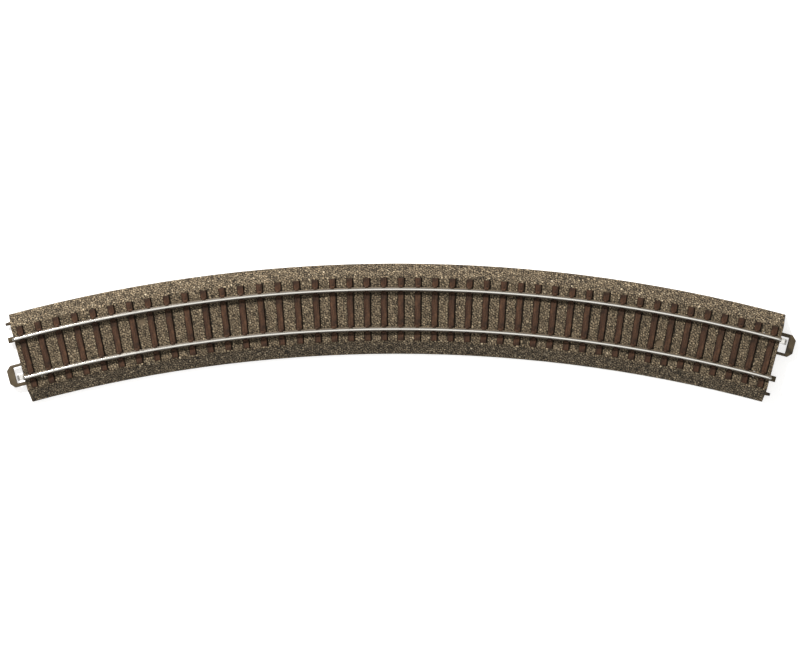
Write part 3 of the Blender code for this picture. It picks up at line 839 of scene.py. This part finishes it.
def make_refined(name, cad_node, slot, material, width):
    """A CAD node's shape with its edges rounded, on the same body."""
    bm = welded(cad_node)
    bmesh.ops.dissolve_limit(bm, angle_limit=math.radians(1), verts=bm.verts, edges=bm.edges)
    sharp = [e for e in bm.edges if e.is_manifold and e.calc_face_angle() > math.radians(20)]
    round_edges(bm, sharp, width)
    bmesh.ops.triangulate(bm, faces=[face for face in bm.faces if len(face.verts) > 4])
    mesh = bm_mesh(name, bm)
    mesh.materials.clear()
    mesh.materials.append(material)
    soften(mesh, 30)
    place(mesh_object(name, mesh), frame["nodes"][cad_node]["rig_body"], slot, cad_node)


def make_small_pieces():
    olive = moulded_material("latch", (0.055, 0.038, 0.018), (0.094, 0.067, 0.033), 0.52)
    spring = sheet_metal("spring", (0.74, 0.72, 0.68), (0.95, 0.93, 0.9), 0.22)
    brass = sheet_metal("brass", (0.4, 0.29, 0.13), (0.64, 0.5, 0.27), 0.36)
    for end in ("left", "right"):
        make_refined(f"clasp_{end}", f"latch_loop_{end}", "latch_plastic", olive, 0.22 * MM)
        make_refined(f"spring_{end}", f"contact_tongue_{end}", "spring_metal", spring, 0.06 * MM)
        make_refined(f"bracket_{end}", f"rail_bracket_{end}", "contact_brass", brass, 0.05 * MM)
        make_refined(f"tab_strip_{end}", f"tab_contact_{end}", "contact_brass", brass, 0.05 * MM)
    for side in ("outer", "inner"):
        make_refined(f"spade_{side}", f"feeder_spade_{side}", "contact_brass", brass, 0.06 * MM)


# Studio

def make_floor():
    """White paper that glows a little, staged, so it isn't part of the object."""
    bm = bmesh.new()
    bmesh.ops.create_grid(bm, x_segments=1, y_segments=1, size=FLOOR_HALF)
    floor = mesh_object("floor", bm_mesh("floor", bm), Matrix.Translation((0, 0, FLOOR_Z)))
    material, tree, shader = new_material("paper")
    paper = noise(tree, object_place(tree), 40, 3).outputs["Fac"]
    tree.links.new(ramp(tree, paper, [(0.3, grey(0.86)), (0.7, grey(0.88))]),
                   shader.inputs["Base Color"])
    shader.inputs["Roughness"].default_value = 0.9
    shader.inputs["Emission Color"].default_value = (1, 1, 1, 1)
    shader.inputs["Emission Strength"].default_value = FLOOR_GLOW
    floor.data.materials.append(material)


def softbox(name, place_at, size, energy, colour):
    light = bpy.data.lights.new(name, "AREA")
    light.shape, light.size, light.energy, light.color = "SQUARE", size, energy, colour
    lamp = bpy.data.objects.new(name, light)
    bpy.context.scene.collection.objects.link(lamp)
    lamp.location = place_at
    lamp.rotation_euler = (Vector(LIGHTS_AIM) - lamp.location).to_track_quat("-Z", "Y").to_euler()


def make_studio():
    make_floor()
    for light in LIGHTS:
        softbox(*light)
    world = bpy.data.worlds.new("studio")
    world.use_nodes = True
    background = world.node_tree.nodes["Background"]
    background.inputs["Color"].default_value = SKY_COLOUR
    background.inputs["Strength"].default_value = SKY_STRENGTH
    bpy.context.scene.world = world
    bpy.context.scene.view_settings.view_transform = "Standard"


def make_camera():
    """Almost straight down, leaning a little from the outside of the curve."""
    data = bpy.data.cameras.new("camera")
    data.lens, data.sensor_width = CAMERA_LENS, CAMERA_SENSOR
    camera = bpy.data.objects.new("camera", data)
    bpy.context.scene.collection.objects.link(camera)
    back = Vector((0, math.sin(CAMERA_LEAN), math.cos(CAMERA_LEAN)))
    camera.location = Vector(CAMERA_TARGET) + back * CAMERA_AWAY
    camera.rotation_euler = (-CAMERA_LEAN, 0, 0)
    data.clip_start, data.clip_end = CAMERA_CLIP
    bpy.context.scene.camera = camera


make_ballast()
make_sleepers()
rail_metal = rail_material()
make_rail("rail_bar_outer", RAIL_OFFSET, rail_metal, "rail_outer")
make_rail("rail_bar_inner", -RAIL_OFFSET, rail_metal, "rail_inner")
make_small_pieces()
make_studio()
make_camera()
